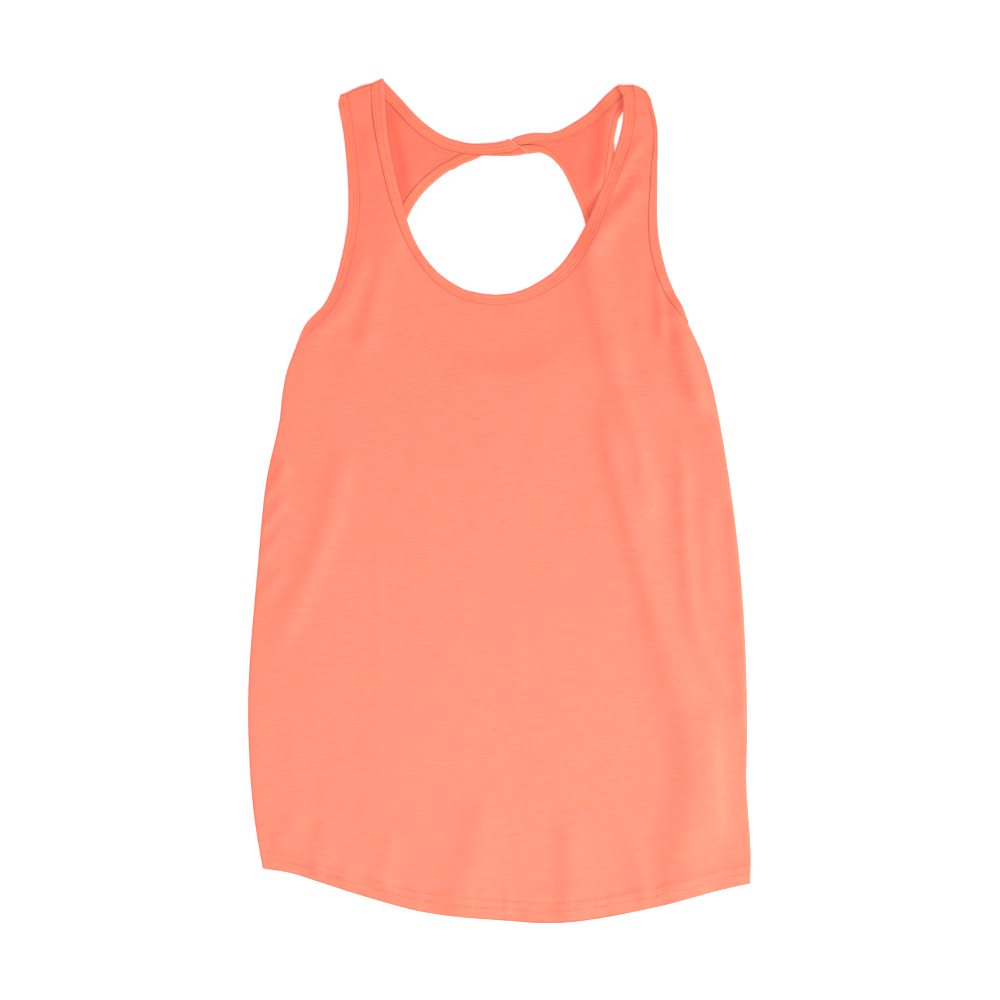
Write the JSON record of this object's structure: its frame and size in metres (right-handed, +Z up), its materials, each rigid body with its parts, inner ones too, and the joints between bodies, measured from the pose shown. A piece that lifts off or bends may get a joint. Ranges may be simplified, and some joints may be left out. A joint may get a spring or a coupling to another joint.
{
  "type": "tank top",
  "caption": "Sleeveless scoop-neck tank top in coral slub jersey, its open back joined by a twist, laid flat with its front up.",
  "frame": {"origin": "middle of the garment's laid-out outline, on the surface it lies on", "axes": "+X to the viewer's right across the chest, +Y from the hem towards the shoulders, +Z up out of the front"},
  "size_m": [0.4324, 0.7278, 0.0065],
  "materials": {
    "jersey": "matte",
    "binding": "matte"
  },
  "bodies": {
    "root": {"front": "jersey", "back": "jersey", "neck_band": "binding", "back_band_over": "binding", "back_band_under": "binding", "arm_band_front_left": "binding", "arm_band_front_right": "binding", "arm_band_back_left": "binding", "arm_band_back_right": "binding"}
  },
  "joints": []
}
